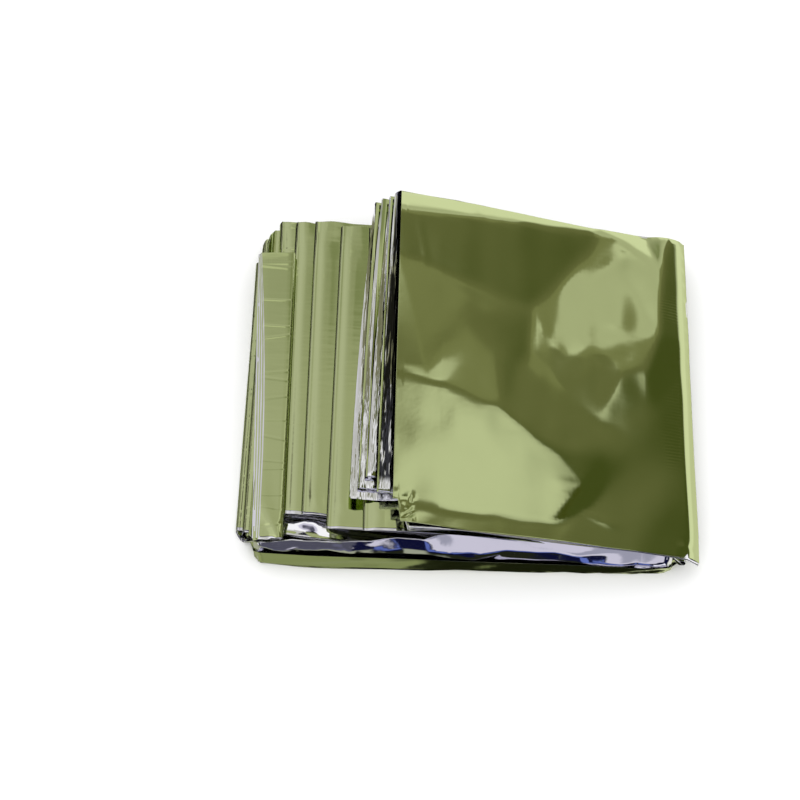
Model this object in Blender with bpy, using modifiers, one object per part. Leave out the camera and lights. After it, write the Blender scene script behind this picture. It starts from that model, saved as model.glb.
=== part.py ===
"""An emergency foil blanket, folded up and lying in a loose pile.

The sheet is first folded in eight, front to back, into one long strip. That strip is about a
millimetre thick and is the sheet that is modelled here. It then runs back and forth, left to right,
as one band: from the cut end of a narrow flap at the left of the pile, down round the lowest folds,
along the bottom, and up through the pile to the large top panel, whose cut end is raised.

Units are metres, and +Z is up. The pile's front faces -Y. The origin is under the middle of its box.
"""

import math
from collections import namedtuple

import bmesh
import bpy
from mathutils import Vector

MM = 0.001

# The strip and how closely its layers lie.
SHEET = 1.0 * MM  # eight plies of foil
PITCH_LEFT = 1.6 * MM  # from one layer of the pile to the next where the folds fan out
PITCH_RIGHT = 1.35 * MM  # and where the pile is pressed flat
PITCH_EASES = (0.0 * MM, 56.0 * MM)  # the pitch falls between these two places
CENTRE = Vector((30.56 * MM, 2.25 * MM, 0.0))  # the middle of the pile's box in its tables' measures

# Places across the pile where every layer may bend, so that layers never cross between them.
STATION_FIRST = -52.0 * MM
STATION_STEP = 18.0 * MM
STATION_COUNT = 10
CLEAR_OF_STATION = 2.0 * MM

# Rows of points from the front edge of a layer to its back edge.
FRONT_ROWS = (0.0 * MM, 2.5 * MM, 5.0 * MM, 8.0 * MM, 12.0 * MM)
BACK_ROWS = 5
STRIP_WIDTH = 165.0 * MM  # front to back
FOLD_STEPS = 4
FOLD_REACH = 2.2 * MM  # the furthest that a fold stands out past the ends of its layers

# A layer of the pile between two folds. "left" and "right" are where it folds at its front and back
# corners, "front" and "back" where its edges lie at its left and right ends, all in millimetres.
# "level" counts the layers that lie under it.
Layer = namedtuple("Layer", "name level left right front back")
END_FLAP = (
    Layer("end_flap_top", 10, (-58.0, -67.0), (-49.5, -53.0), (-80.7, -80.7), (68.7, 69.2)),
    Layer("end_flap_under", 9, (-59.5, -68.0), (-49.5, -53.0), (-80.0, -80.0), (68.0, 68.5)),
)
PILE = (
    Layer("low_4", 4, (-62.0, -68.5), (54.0, 54.0), (-72.6, -81.0), (73.3, 76.0)),
    Layer("low_3", 3, (-65.5, -69.0), (54.0, 54.0), (-71.5, -81.5), (74.0, 76.0)),
    Layer("low_2", 2, (-65.5, -69.0), (36.0, 36.0), (-70.5, -82.0), (74.0, 77.0)),
    Layer("low_1", 1, (-69.5, -69.7), (36.0, 36.0), (-69.5, -82.0), (75.1, 77.0)),
    Layer("bottom", 0, (-66.5, -69.7), (125.5, 126.0), (-74.0, -80.0), (75.5, 78.0)),
    Layer("step_a_under", 5, (-49.5, -59.2), (125.5, 126.0), (-65.5, -79.0), (91.0, 80.0)),
    Layer("step_a", 6, (-49.5, -59.2), (54.0, 55.0), (-65.5, -79.5), (91.5, 82.0)),
    Layer("step_b_under", 7, (-44.8, -51.2), (54.0, 55.0), (-66.0, -79.0), (88.5, 82.0)),
    Layer("step_b", 8, (-44.8, -51.2), (72.0, 72.5), (-66.0, -79.5), (88.6, 82.0)),
    Layer("step_c_under", 9, (-39.0, -42.0), (72.0, 72.5), (-67.0, -79.0), (87.5, 82.0)),
    Layer("step_c", 10, (-39.0, -42.0), (90.0, 90.0), (-67.8, -79.5), (87.7, 82.0)),
    Layer("step_d_under", 11, (-28.4, -29.4), (90.0, 90.0), (-75.5, -79.0), (82.5, 81.0)),
    Layer("step_d", 12, (-28.4, -29.4), (89.0, 90.0), (-76.5, -79.0), (82.7, 81.0)),
    Layer("step_e_under", 13, (-12.5, -16.0), (89.0, 90.0), (-77.5, -79.0), (80.0, 80.0)),
    Layer("step_e", 14, (-12.5, -16.0), (118.0, 120.0), (-78.6, -78.5), (80.1, 79.0)),
)

# The layers of the raised top, from the lowest to the panel: "level" is their share of the height
# from the pile up to the panel.
TOP = (
    Layer("top_1", 0.2, (-19.2, -15.0), (118.0, 120.0), (-64.8, -77.0), (90.5, 80.0)),
    Layer("top_2", 0.4, (-19.2, -15.0), (123.0, 125.0), (-65.5, -78.0), (90.0, 80.5)),
    Layer("top_3", 0.6, (-9.5, -8.0), (123.0, 125.0), (-68.0, -79.5), (88.5, 81.0)),
    Layer("top_4", 0.8, (-9.5, -8.0), (129.0, 130.3), (-70.0, -81.0), (87.5, 81.0)),
    Layer("panel", 1.0, (-1.0, -1.8), (129.0, 130.3), (-80.7, -83.5), (85.6, 80.5)),
)
PANEL_LEFT = (34.9, 45.3)  # the panel's height at its left end, front and back
PANEL_RIGHT = (14.4, 16.4)
PANEL_ENDS = (-1.0, 130.0)

# The foil's loose front: the bottom layer comes forward, turns up as a low wall, then leans back over
# the front edges of the others. At each place along it, where the wall stands and the heights of the
# wall and of the top of the lean, in millimetres.
Front = namedtuple("Front", "x y wall top")
LOOSE_FRONT = (
    Front(-63.5, -76.0, 0.5, 0.5),
    Front(-60.5, -85.0, 9.0, 12.5),
    Front(-34.0, -86.5, 10.5, 14.0),
    Front(-16.0, -86.5, 10.5, 19.5),
    Front(20.0, -86.5, 10.5, 19.5),
    Front(74.0, -86.0, 9.0, 17.0),
    Front(110.0, -85.5, 6.0, 12.5),
    Front(118.0, -84.5, 4.5, 9.0),
    Front(121.5, -81.0, 0.5, 0.5),
)
# For each of the front rows: how far behind the wall it stands, how much of the wall's height it has,
# and how much of the lean above the wall.
Turn = namedtuple("Turn", "behind wall lean")
TURNS = (
    Turn(7.0, 1.0, 1.0),
    Turn(3.6, 1.0, 0.5),
    Turn(0.8, 1.0, 0.0),
    Turn(0.0, 0.45, 0.0),
    Turn(1.5, 0.0, 0.0),
)

SAG = 0.6 * MM  # how far the layers wave up and down at the top of the pile
SAG_LENGTHS = (95.0 * MM, 130.0 * MM)  # from crest to crest, across and front to back

FOIL_COLOUR = (0.30, 0.35, 0.10, 1.0)
FOIL_ROUGHNESS = 0.25


def blend(a, b, share):
    return a + (b - a) * share


def clamp(value):
    return min(1.0, max(0.0, value))


def stations():
    return [STATION_FIRST + STATION_STEP * i for i in range(STATION_COUNT)]


def loose_front(x, column):
    """One column of the loose front's table at a place along it, in metres."""
    for low, high in zip(LOOSE_FRONT, LOOSE_FRONT[1:]):
        if x <= high.x * MM:
            share = clamp((x / MM - low.x) / (high.x - low.x))
            return blend(getattr(low, column), getattr(high, column), share) * MM
    return getattr(LOOSE_FRONT[-1], column) * MM


def pitch(x):
    return blend(PITCH_LEFT, PITCH_RIGHT, clamp((x - PITCH_EASES[0]) / (PITCH_EASES[1] - PITCH_EASES[0])))


def right_folds_under(level):
    """The stations past which a layer comes down, because two layers under it have folded back."""
    ends = []
    for lower, upper in zip(PILE, PILE[1:]):
        shared_right = lower.right == upper.right and abs(lower.level - upper.level) == 1
        if shared_right and max(lower.level, upper.level) < level:
            ends.append(min(s for s in stations() if s >= max(lower.right) * MM))
    return ends


def pile_height_at(level, x):
    """The height of the middle of a pile layer at a station."""
    lying_under = level - sum(2 * clamp((x - end) / STATION_STEP) for end in right_folds_under(level))
    return SHEET / 2 + lying_under * pitch(x)


def pile_height(level, x):
    """The same anywhere: straight from one station to the next."""
    cell = math.floor((x - STATION_FIRST) / STATION_STEP)
    start = STATION_FIRST + cell * STATION_STEP
    share = (x - start) / STATION_STEP
    return blend(pile_height_at(level, start), pile_height_at(level, start + STATION_STEP), share)


def panel_height(x, depth):
    """The height of the top panel; depth is 0 at its front edge and 1 at its back edge."""
    across = (x / MM - PANEL_ENDS[0]) / (PANEL_ENDS[1] - PANEL_ENDS[0])
    left = blend(*PANEL_LEFT, depth)
    right = blend(*PANEL_RIGHT, depth)
    return blend(left, right, across) * MM


def sag(x, y, z):
    """A slow wave that grows with the height in the pile, so that it moves no layer into another."""
    wave = math.sin(math.tau * x / SAG_LENGTHS[0]) * math.cos(math.tau * y / SAG_LENGTHS[1])
    return SAG * wave * z / (PANEL_LEFT[0] * MM)


def rows():
    """For each row of points, its distance from the front edge and its share of the rest."""
    made = [(distance, 0.0) for distance in FRONT_ROWS]
    return made + [(FRONT_ROWS[-1], (i + 1) / BACK_ROWS) for i in range(BACK_ROWS)]


def point_on(layer, place, row):
    """The middle of the strip at a place across a layer: "left", "right" or a distance along X."""
    distance, rest = rows()[row]
    depth = blend(distance, STRIP_WIDTH, rest) / STRIP_WIDTH
    ends = {"left": blend(*layer.left, depth) * MM, "right": blend(*layer.right, depth) * MM}
    x = ends.get(place, place)
    across = clamp((x - ends["left"]) / (ends["right"] - ends["left"]))
    front = blend(*layer.front, across) * MM
    back = blend(*layer.back, across) * MM
    if layer.name == "bottom":
        return turned_up(x, front, back, row)
    height = pile_height(layer.level, x)
    if layer in TOP:
        height = blend(pile_height(PILE[-1].level, x), panel_height(x, depth), layer.level)
    y = blend(front + distance, back, rest)
    return Vector((x, y, height + sag(x, y, height - SHEET / 2)))


def turned_up(x, front, back, row):
    """A point of the bottom layer, whose front rows come forward and turn up."""
    distance, rest = rows()[row]
    wall = loose_front(x, "wall") - SHEET / 2
    lean = loose_front(x, "top") - SHEET / 2 - wall
    if wall <= 0:
        return Vector((x, blend(front + distance, back, rest), SHEET / 2))
    wall_y = loose_front(x, "y")
    if row >= len(TURNS):
        return Vector((x, blend(wall_y + FRONT_ROWS[-1], back, rest), SHEET / 2))
    turn = TURNS[row]
    return Vector((x, wall_y + turn.behind * MM, SHEET / 2 + turn.wall * wall + turn.lean * lean))


def inner_places(layer):
    """Where the layer may bend between its two ends, from left to right."""
    if layer.name == "bottom":
        return [front.x * MM for front in LOOSE_FRONT]
    left, right = max(layer.left) * MM + CLEAR_OF_STATION, min(layer.right) * MM
    return [station for station in stations() if left < station <= right]


def band():
    """The strip from end to end, as columns of points: (layer, place), or in a fold
    (layer, next layer, side, share of the way round)."""
    layers = END_FLAP + PILE + TOP
    side = "left"
    columns = []
    for i, layer in enumerate(layers):
        far = "right" if side == "left" else "left"
        inner = inner_places(layer)
        if side == "right":
            inner.reverse()
        columns += [(layer, place) for place in (side, *inner, far)]
        if i + 1 < len(layers):
            columns += [(layer, layers[i + 1], far, step / FOLD_STEPS) for step in range(1, FOLD_STEPS)]
        side = far
    return columns


def point_of(column, row):
    if len(column) == 2:
        return point_on(*column, row)
    layer, next_layer, side, share = column
    start, end = point_on(layer, side, row), point_on(next_layer, side, row)
    outwards = 1 if side == "right" else -1
    half = (start - end) / 2
    bulge = Vector((outwards * min(abs(half.z), FOLD_REACH), 0.0, 0.0))
    angle = math.pi * share
    return (start + end) / 2 + half * math.cos(angle) + bulge * math.sin(angle)


def foil_material():
    material = bpy.data.materials.new("olive_foil")
    material.use_nodes = True
    shader = material.node_tree.nodes["Principled BSDF"]
    shader.inputs["Base Color"].default_value = FOIL_COLOUR
    shader.inputs["Metallic"].default_value = 1.0
    shader.inputs["Roughness"].default_value = FOIL_ROUGHNESS
    return material


def make_blanket(collection):
    columns = band()
    across, deep = len(columns) - 1, len(rows()) - 1
    mesh = bpy.data.meshes.new("foil_blanket")
    grid = bmesh.new()
    bmesh.ops.create_grid(grid, x_segments=across, y_segments=deep, size=1.0)
    for vertex in grid.verts:
        column = round((vertex.co.x + 1) / 2 * across)
        row = round((vertex.co.y + 1) / 2 * deep)
        vertex.co = point_of(columns[column], row) - CENTRE
    grid.to_mesh(mesh)
    grid.free()
    mesh.shade_smooth()
    blanket = bpy.data.objects.new("foil_blanket", mesh)
    mesh.materials.append(foil_material())
    shell = blanket.modifiers.new("sheet", "SOLIDIFY")
    shell.thickness = SHEET
    shell.offset = 0.0
    collection.objects.link(blanket)
    return blanket


def clear_scene():
    for old in list(bpy.data.objects):
        bpy.data.objects.remove(old, do_unlink=True)


def main():
    clear_scene()
    collection = bpy.data.collections.new("emergency_foil_blanket")
    bpy.context.scene.collection.children.link(collection)
    make_blanket(collection)


main()
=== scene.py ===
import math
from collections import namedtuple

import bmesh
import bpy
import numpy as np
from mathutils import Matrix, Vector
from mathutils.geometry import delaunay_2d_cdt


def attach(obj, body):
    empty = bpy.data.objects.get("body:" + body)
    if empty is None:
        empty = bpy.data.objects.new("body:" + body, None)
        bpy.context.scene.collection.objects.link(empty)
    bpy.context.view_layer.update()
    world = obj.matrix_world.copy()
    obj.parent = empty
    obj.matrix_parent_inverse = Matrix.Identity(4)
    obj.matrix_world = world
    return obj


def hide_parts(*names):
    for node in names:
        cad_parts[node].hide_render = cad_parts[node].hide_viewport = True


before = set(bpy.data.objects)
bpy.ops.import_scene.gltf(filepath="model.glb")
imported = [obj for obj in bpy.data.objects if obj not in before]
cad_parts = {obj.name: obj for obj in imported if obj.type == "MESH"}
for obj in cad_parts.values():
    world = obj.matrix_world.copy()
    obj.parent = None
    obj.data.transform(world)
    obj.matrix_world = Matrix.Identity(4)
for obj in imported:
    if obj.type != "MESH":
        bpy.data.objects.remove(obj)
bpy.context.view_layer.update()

# The dressed foil blanket: the whole sheet, ply by ply, folded like the frame's one solid. Some of its
# hidden and back edges lie elsewhere than the solid's.
#
# The sheet is folded in eight, front to back, with both of its long edges at the front, so the folds
# at the back show green foil and those at the front show silver. The strip that this makes runs back
# and forth, left to right, through the layers in the tables below. Every point of the sheet has two
# numbers: "run", along the strip, whose whole part counts the layers, and "lap", across the sheet,
# whose whole part counts the plies. Tables and shape functions are in millimetres; the frame's own
# origin is at CENTRE.

MM = 0.001
CENTRE = np.array([30.56, 2.25, 0.0])

# ---------------------------------------------------------------- the strip's layers

SHEET = 1.0
PITCH_LEFT, PITCH_RIGHT = 1.6, 1.35
PITCH_EASES = (0.0, 56.0)
STEP_START, STEP_DOWN = 1.5, 18.0  # how far past a fold the layers above it start to sink, and end
STRIP_WIDTH = 165.0
FRONT_BAND = 12.0
FOLD_REACH = 2.2

Layer = namedtuple("Layer", "name level left right front back")
END_FLAP = (
    Layer("end_flap_top", 10, (-58.0, -67.0), (-48.9, -52.3), (-80.7, -80.7), (68.7, 69.2)),
    Layer("end_flap_under", 9, (-59.5, -63.5), (-48.9, -52.3), (-80.0, -80.0), (68.0, 68.5)),
)
PILE = (
    Layer("low_4", 4, (-62.0, -62.6), (54.0, 54.0), (-72.6, -81.0), (89.0, 80.0)),
    Layer("low_3", 3, (-65.5, -66.4), (54.0, 54.0), (-71.5, -81.5), (84.5, 79.0)),
    Layer("low_2", 2, (-65.5, -67.6), (36.0, 36.0), (-70.5, -82.0), (78.5, 78.0)),
    Layer("low_1", 1, (-69.5, -69.6), (36.0, 36.0), (-69.5, -82.0), (73.5, 77.0)),
    Layer("bottom", 0, (-66.5, -70.1), (125.5, 126.0), (-74.0, -80.0), (73.5, 78.0)),
    Layer("step_a_under", 5, (-50.5, -59.2), (125.5, 126.0), (-65.5, -79.0), (91.0, 80.0)),
    Layer("step_a", 6, (-50.5, -59.2), (54.0, 55.0), (-65.5, -79.5), (91.5, 82.0)),
    Layer("step_b_under", 7, (-48.2, -51.4), (54.0, 55.0), (-66.0, -79.0), (88.5, 82.0)),
    Layer("step_b", 8, (-48.2, -51.4), (72.0, 72.5), (-66.0, -79.5), (88.6, 82.0)),
    Layer("step_c_under", 9, (-39.6, -42.0), (72.0, 72.5), (-67.0, -79.0), (87.5, 82.0)),
    Layer("step_c", 10, (-39.6, -42.0), (90.0, 90.0), (-67.8, -79.5), (87.7, 82.0)),
    Layer("step_d_under", 11, (-28.4, -29.4), (90.0, 90.0), (-75.5, -79.0), (82.5, 81.0)),
    Layer("step_d", 12, (-28.4, -29.4), (89.0, 90.0), (-76.5, -79.0), (82.7, 81.0)),
    Layer("step_e_under", 13, (-12.5, -16.0), (89.0, 90.0), (-77.5, -79.0), (80.0, 80.0)),
    Layer("step_e", 14, (-12.5, -16.0), (118.0, 120.0), (-78.6, -78.5), (80.1, 79.0)),
)
TOP = (
    Layer("top_1", 0.2, (-12.0, -9.0), (118.0, 120.0), (-60.8, -77.0), (86.5, 80.0)),
    Layer("top_2", 0.4, (-12.0, -9.0), (123.0, 125.0), (-60.5, -78.0), (86.0, 80.5)),
    Layer("top_3", 0.6, (-4.5, -3.0), (123.0, 125.0), (-60.0, -79.5), (85.5, 81.0)),
    Layer("top_4", 0.8, (-4.5, -3.0), (129.6, 130.3), (-60.0, -81.0), (84.5, 81.0)),
    Layer("panel", 1.0, (-1.0, -1.8), (130.8, 131.0), (-80.7, -83.5), (85.6, 80.5)),
)
LAYERS = END_FLAP + PILE + TOP
INDEX = {layer.name: i for i, layer in enumerate(LAYERS)}
STEPS = ("step_a", "step_b", "step_c", "step_d", "step_e")
STEP_INDICES = [INDEX[name] for name in STEPS]

PANEL_LEFT = (34.9, 45.3)
PANEL_RIGHT = (14.4, 16.4)
PANEL_ENDS = (-1.0, 130.0)
# At the left the layers under the panel lie this much lower, to make room for its plies.
TOP_SQUEEZE, SQUEEZE_START, SQUEEZE_LENGTH = 0.62, -10.0, 90.0

# ---------------------------------------------------------------- the plies

PLIES = 8
PLY_GAP = 0.12
FOIL = 0.04
ON_LAYER = 0.9  # the share of one unit of run, or of lap, that is not fold
SLACK, TINY = 1e-5, 1e-9
SMALL_RUN, SMALL_W = 0.003, 0.4  # the steps over which the strip's direction is measured
PLY_FOLD_REACH = 0.5

# How far each ply's front edge stands out past the strip's, and its back edge: the silver folds peep
# out at the front.
Edge = namedtuple("Edge", "ply front back")
EDGES = (
    Edge(0, 0.0, 0.4),
    Edge(1, 0.5, 0.4),
    Edge(2, 0.5, -0.3),
    Edge(3, 0.2, -0.3),
    Edge(4, 0.2, 0.5),
    Edge(5, 0.7, 0.5),
    Edge(6, 0.7, 0.0),
    Edge(7, 0.0, 0.0),
)

# The panel's cut left end, where the plies fan out below it: how far each ply's end lies to the left
# of the panel's, and below it, at the front and at the back, and where its front edge lies.
Fan = namedtuple("Fan", "ply left_front left_back drop_front drop_back front")
FANNED = (
    Fan(0, 0.0, 0.0, 0.0, 0.0, 10.5),
    Fan(1, 6.2, 3.2, 2.2, 2.6, 16.5),
    Fan(2, 6.9, 5.0, 2.8, 4.2, 16.5),
    Fan(3, 11.2, 5.6, 4.8, 4.8, 24.0),
    Fan(4, 11.9, 8.6, 5.2, 6.7, 24.0),
    Fan(5, 14.4, 9.2, 6.3, 7.3, 20.0),
    Fan(6, 15.0, 11.6, 6.8, 8.9, 20.0),
    Fan(7, 18.6, 12.4, 8.3, 9.7, 15.5),
)
FAN_ROOT = 34.0
FLUTE, FLUTE_LENGTHS = 0.15, (2.9, 0.5)
HIDDEN_DROP = 1.4
CALM_PLIES, CALM_SHARE = 2, 0.3  # the plies nearest the top are fluted this much less

NOTCH, NOTCH_EASE = 3.5, 1.5  # how far along x the panel's front corner is folded away
HIDDEN_NOTCH, HIDDEN_NOTCH_EASE = 6.0, 4.0  # where, along x, the plies under it come forward again
INNER_SET_BACK = (3.0, 0.4)  # the bottom layer's inner plies lie this far back, and each this much more
# Where the front of "low_4" shows the silver of its last ply but one.
BARE, BARE_EASE, BARE_DEPTH, BARE_RISE = (-50.5, -28.0), 2.5, 13.0, 1.7

# The other cut end, the left side of the narrow flap, spreads less.
FLAP_FAN_LEFT, FLAP_FAN_DROP = (3.2, 1.7), 1.0
FLAP_BOW = 1.8
FLAP_OPEN = 0.6  # the plies are together again from this share of the flap's width on
TOP_PLY_LIFT = 0.15

# Slow waves. The length is a first value and what each ply adds to it. The phase is what each ply adds.
Wave = namedtuple("Wave", "rise length phase fade")
FAN_RIPPLE = Wave(0.16, (7.0, 1.7), 1.9, 6.0)
FLAP_RIPPLE = Wave(0.25, (5.0, 1.3), 2.3, 0.0)
FLUTE_PHASE, FLUTE_SLANT, FLUTE_UNEVEN = 1.3, 0.035, 2.7
FAN_CURVE = 1.2  # how late, over its length, the fan opens
HIDDEN_EASES = (12.0, 8.0, 14.0, 12.0)  # from the left, right, front and back edge
EDGE_WAVES = ((0.35, 5.1, 2.3), (0.25, 13.7, 1.1))  # of a ply's edge: size, turns along the run, phase
BACK_WAVES = 0.6  # how large they are at the back

# Crumpled places: how high, how large the facets are, and which part of the random lattice is used.
Crumple = namedtuple("Crumple", "rise cells start")
WALL = Crumple(0.8, (12.0, 6.0), 1)
SHOWN_SILVER = Crumple(1.4, (4.0, 4.5), 2)
CURTAIN = Crumple(1.4, (11.0, 8.0), 3)
STEP_BACKS = Crumple(0.7, (7.0, 9.0), 4)
CURTAIN_LEFT = Crumple(0.5, (4.5, 3.0), 5)
LEFT_CORNER = Crumple(0.22, (3.2, 3.0), 6)
UNDER_NOTCH = Crumple(0.22, (3.4, 3.0), 7)
RIGHT_CORNER = Crumple(0.42, (3.6, 4.2), 8)

# Where some of them end or begin along x, how far they reach from the front edge, and over what lengths
# they fade there.
Reach = namedtuple("Reach", "x ease_x front ease_front")
LEFT_CORNER_REACH = Reach(10.0, 4.0, 17.0, 5.0)
RIGHT_CORNER_REACH = Reach(8.0, 3.0, 10.0, 5.0)
UNDER_NOTCH_REACH = Reach(-8.0, 2.0, 22.0, 4.0)
SILVER_REACH = Reach(3.0, 3.0, 20.0, 6.0)
STEP_BACKS_END, STEP_BACKS_EASE, BACK_BAND = -13.0, 4.0, 26.0
SILVER_RAMP, SILVER_CRUMPLED = (6.0, 8.5, 1.5), (9.0, 2.0)


def lerp(a, b, share):
    return a + (b - a) * share


def soft(value):
    value = np.clip(value, 0.0, 1.0)
    return value * value * (3.0 - 2.0 * value)


def pitch(x):
    return lerp(PITCH_LEFT, PITCH_RIGHT, soft((x - PITCH_EASES[0]) / (PITCH_EASES[1] - PITCH_EASES[0])))


def right_folds():
    """(highest level, place along X) of each pair of pile layers that folds back under the others."""
    found = []
    for lower, upper in zip(PILE, PILE[1:]):
        if lower.right == upper.right and abs(lower.level - upper.level) == 1:
            found.append((max(lower.level, upper.level), max(lower.right)))
    return found


RIGHT_FOLDS = right_folds()


def pile_height(level, x):
    under = level
    for highest, place in RIGHT_FOLDS:
        if highest < level:
            under = under - 2.0 * soft((x - place - STEP_START) / STEP_DOWN)
    return SHEET / 2 + under * pitch(x)


# ---------------------------------------------------------------- uneven heights

SEED = 7
RANDOM = np.random.default_rng(SEED)
LATTICE_SIZE = 64
LATTICE = RANDOM.uniform(-1.0, 1.0, (LATTICE_SIZE, LATTICE_SIZE))
NOISE_SHIFT, FACET_SHIFT = (7, 3), (11, 5)  # how far apart on the lattice two starts lie
FACET_SKEW = ((0.35, 2.1), (0.30, 1.7))  # how far, and how often, the rows of cells stray from straight


def lattice(i, j):
    return LATTICE[np.mod(i, LATTICE_SIZE).astype(int), np.mod(j, LATTICE_SIZE).astype(int)]


def smooth_noise(a, b, start=0):
    """Smooth uneven heights from -1 to 1, about one hump to a unit."""
    i, j = np.floor(a), np.floor(b)
    s, t = soft(a - i), soft(b - j)
    i, j = i + NOISE_SHIFT[0] * start, j + NOISE_SHIFT[1] * start
    near, far = (lerp(lattice(i, row), lattice(i + 1, row), s) for row in (j, j + 1))
    return lerp(near, far, t)


def facets(a, b, crumple):
    """A crumpled surface of flat triangles: heights from -1 to 1 over an uneven grid of cells."""
    (cell_a, cell_b), start = crumple.cells, crumple.start
    (far_a, often_a), (far_b, often_b) = FACET_SKEW
    a = a / cell_a + far_a * np.sin(often_a * b / cell_b + start)
    b = b / cell_b + far_b * np.sin(often_b * a + 2.0 * start)
    i, j = np.floor(a), np.floor(b)
    s, t = a - i, b - j
    i, j = i + FACET_SHIFT[0] * start, j + FACET_SHIFT[1] * start
    corner, right, up, far = lattice(i, j), lattice(i + 1, j), lattice(i, j + 1), lattice(i + 1, j + 1)
    lower = corner + (right - corner) * s + (far - right) * t
    upper = corner + (far - up) * s + (up - corner) * t
    return np.where(t < s, lower, upper)


# ---------------------------------------------------------------- the panel's creases

# A crease is a soft ridge, or a trough where its rise is below 0, along a straight line.
Crease = namedtuple("Crease", "x1 y1 x2 y2 rise width")
PANEL_CREASES = (
    Crease(5.8, 67.9, 9.9, 49.7, 0.05, 1.6),
    Crease(61.6, 31.6, 64.8, 24.1, 0.10, 1.2),
    Crease(64.8, 24.1, 72.0, 12.5, 0.10, 1.2),
    Crease(88.0, 24.0, 99.0, 25.0, -0.10, 1.0),
    Crease(85.3, 16.7, 98.8, 8.2, 0.12, 1.8),
    Crease(92.0, 60.0, 100.0, 67.0, -0.16, 3.4),
    Crease(48.9, -32.8, 57.7, -33.2, -0.06, 1.2),
    Crease(70.6, -55.9, 81.5, -55.1, 0.12, 1.2),
    Crease(70.6, -58.6, 81.5, -57.4, -0.08, 1.2),
    Crease(83.4, -68.8, 92.0, -72.6, 0.12, 1.8),
    Crease(34.7, 79.9, 33.0, 84.5, 0.2, 1.6),
)

# The panel's broad forms: points lifted off its even slope, joined by flat facets. "round" is how far
# the corners and edges of the facets are rounded there.
Point = namedtuple("Point", "name x y lift round")
PANEL_POINTS = (
    Point("back_left", -8.0, 92.0, 3.0, 3.0),
    Point("back_middle", 45.0, 90.0, 1.2, 8.0),
    Point("back_right", 88.0, 92.0, -1.6, 4.0),
    Point("back_crest", 119.0, 92.0, 2.2, 1.5),
    Point("far_right", 140.0, 92.0, -1.0, 2.0),
    Point("left_upper", -8.0, 50.0, 0.3, 3.0),
    Point("left_ridge", -8.0, -9.0, 1.05, 1.2),
    Point("left_lower", -8.0, -71.4, -2.3, 2.5),
    Point("front_left", -8.0, -92.0, -0.1, 2.5),
    Point("bend_top", -1.5, 50.4, 0.3, 0.8),
    Point("bend_foot", 12.6, -9.4, 1.0, 0.8),
    Point("ridge_1", 17.9, -13.7, 1.5, 1.5),
    Point("ridge_2", 44.4, -21.5, 1.6, 2.0),
    Point("ridge_3", 57.7, -30.7, 1.4, 2.0),
    Point("ridge_4", 70.8, -39.9, 0.9, 1.5),
    Point("tip", 81.5, -54.6, 0.0, 0.8),
    Point("trough_1", 19.1, -71.4, -1.5, 3.0),
    Point("trough_2", 44.6, -73.2, -1.3, 3.0),
    Point("trough_3", 65.6, -75.1, -1.3, 1.2),
    Point("front_1", 30.0, -92.0, 0.0, 2.0),
    Point("front_2", 66.0, -92.0, -0.4, 2.0),
    Point("front_3", 100.0, -92.0, -0.6, 4.0),
    Point("front_right", 140.0, -92.0, -2.4, 3.0),
    Point("right_lower", 140.0, -40.0, -3.4, 6.0),
    Point("right_middle", 140.0, 24.0, -2.2, 3.0),
    Point("slack", 100.0, -36.0, -1.6, 10.0),
    Point("tip_foot", 79.0, -66.0, -1.5, 1.5),
    Point("valley_low", 58.0, 33.7, -2.9, 2.5),
    Point("valley_middle", 72.0, 49.6, -3.2, 4.0),
    Point("valley_high", 91.2, 72.5, -2.6, 4.0),
    Point("crest_back", 121.5, 64.2, 1.7, 1.2),
    Point("crest_right", 118.0, 24.9, 1.9, 1.2),
    Point("crest_corner", 112.5, 6.0, 1.3, 1.2),
    Point("crest_1", 100.9, 3.3, 0.4, 1.2),
    Point("crest_2", 89.6, 5.0, -0.6, 1.2),
    Point("crest_3", 77.0, 10.5, -1.4, 1.2),
    Point("crest_4", 67.0, 15.5, -2.2, 1.2),
    Point("foot_2", 86.0, -24.0, -1.9, 5.0),
    Point("foot_3", 70.0, -8.0, -2.2, 5.0),
    Point("foot_4", 56.0, 8.0, -2.8, 4.0),
    Point("foot_corner", 113.0, -12.0, -0.2, 4.0),
    Point("foot_right", 124.0, -40.0, -1.6, 6.0),
    Point("plain", 40.0, 20.0, -0.6, 14.0),
)
PANEL_FOLDS = (
    ("bend_top", "bend_foot"),
    ("left_ridge", "bend_foot", "ridge_1", "ridge_2", "ridge_3", "ridge_4", "tip"),
    ("left_lower", "trough_1", "trough_2", "trough_3", "tip"),
    ("trough_3", "tip_foot", "tip"),
    ("tip_foot", "slack"),
    ("back_crest", "crest_back"),
    ("foot_4", "foot_3", "foot_2", "slack", "foot_right"),
    ("valley_low", "valley_middle", "valley_high"),
    ("valley_high", "crest_back", "crest_right", "crest_corner", "crest_1"),
    ("crest_1", "crest_2", "crest_3", "crest_4", "valley_low"),
)
CREASE_END = 1.6  # a crease fades past its ends over this many times its width
SAME_POINT = 0.01  # points nearer than this would be joined
# How far, and over what lengths, the folds stray from straight.
WANDER, WANDER_LENGTHS, WANDER_STARTS = 1.3, (9.0, 15.0), (9, 18)
MAP_LOW, MAP_HIGH, MAP_STEP = (-6.0, -90.0), (136.0, 90.0), 1.0
LAST_CELL = 1.001  # keeps a place inside the map's last cell
ROUND_RINGS, ROUND_TURNS = (0.4, 1.0), 8

RIM = (10.5, 106.0)  # the strip along the back edge that tips back: its width at the left, and its end
RIM_SLOPE = 0.30
BEVEL = (3.8, 2.0)  # the strip along the right edge that tips down: its width at the front and at the back
BEVEL_SLOPE = 0.75
CORNER = (8.0, 14.0)  # the facet that tips down at the front right: its width and its length
CORNER_SLOPE = 0.20
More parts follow.
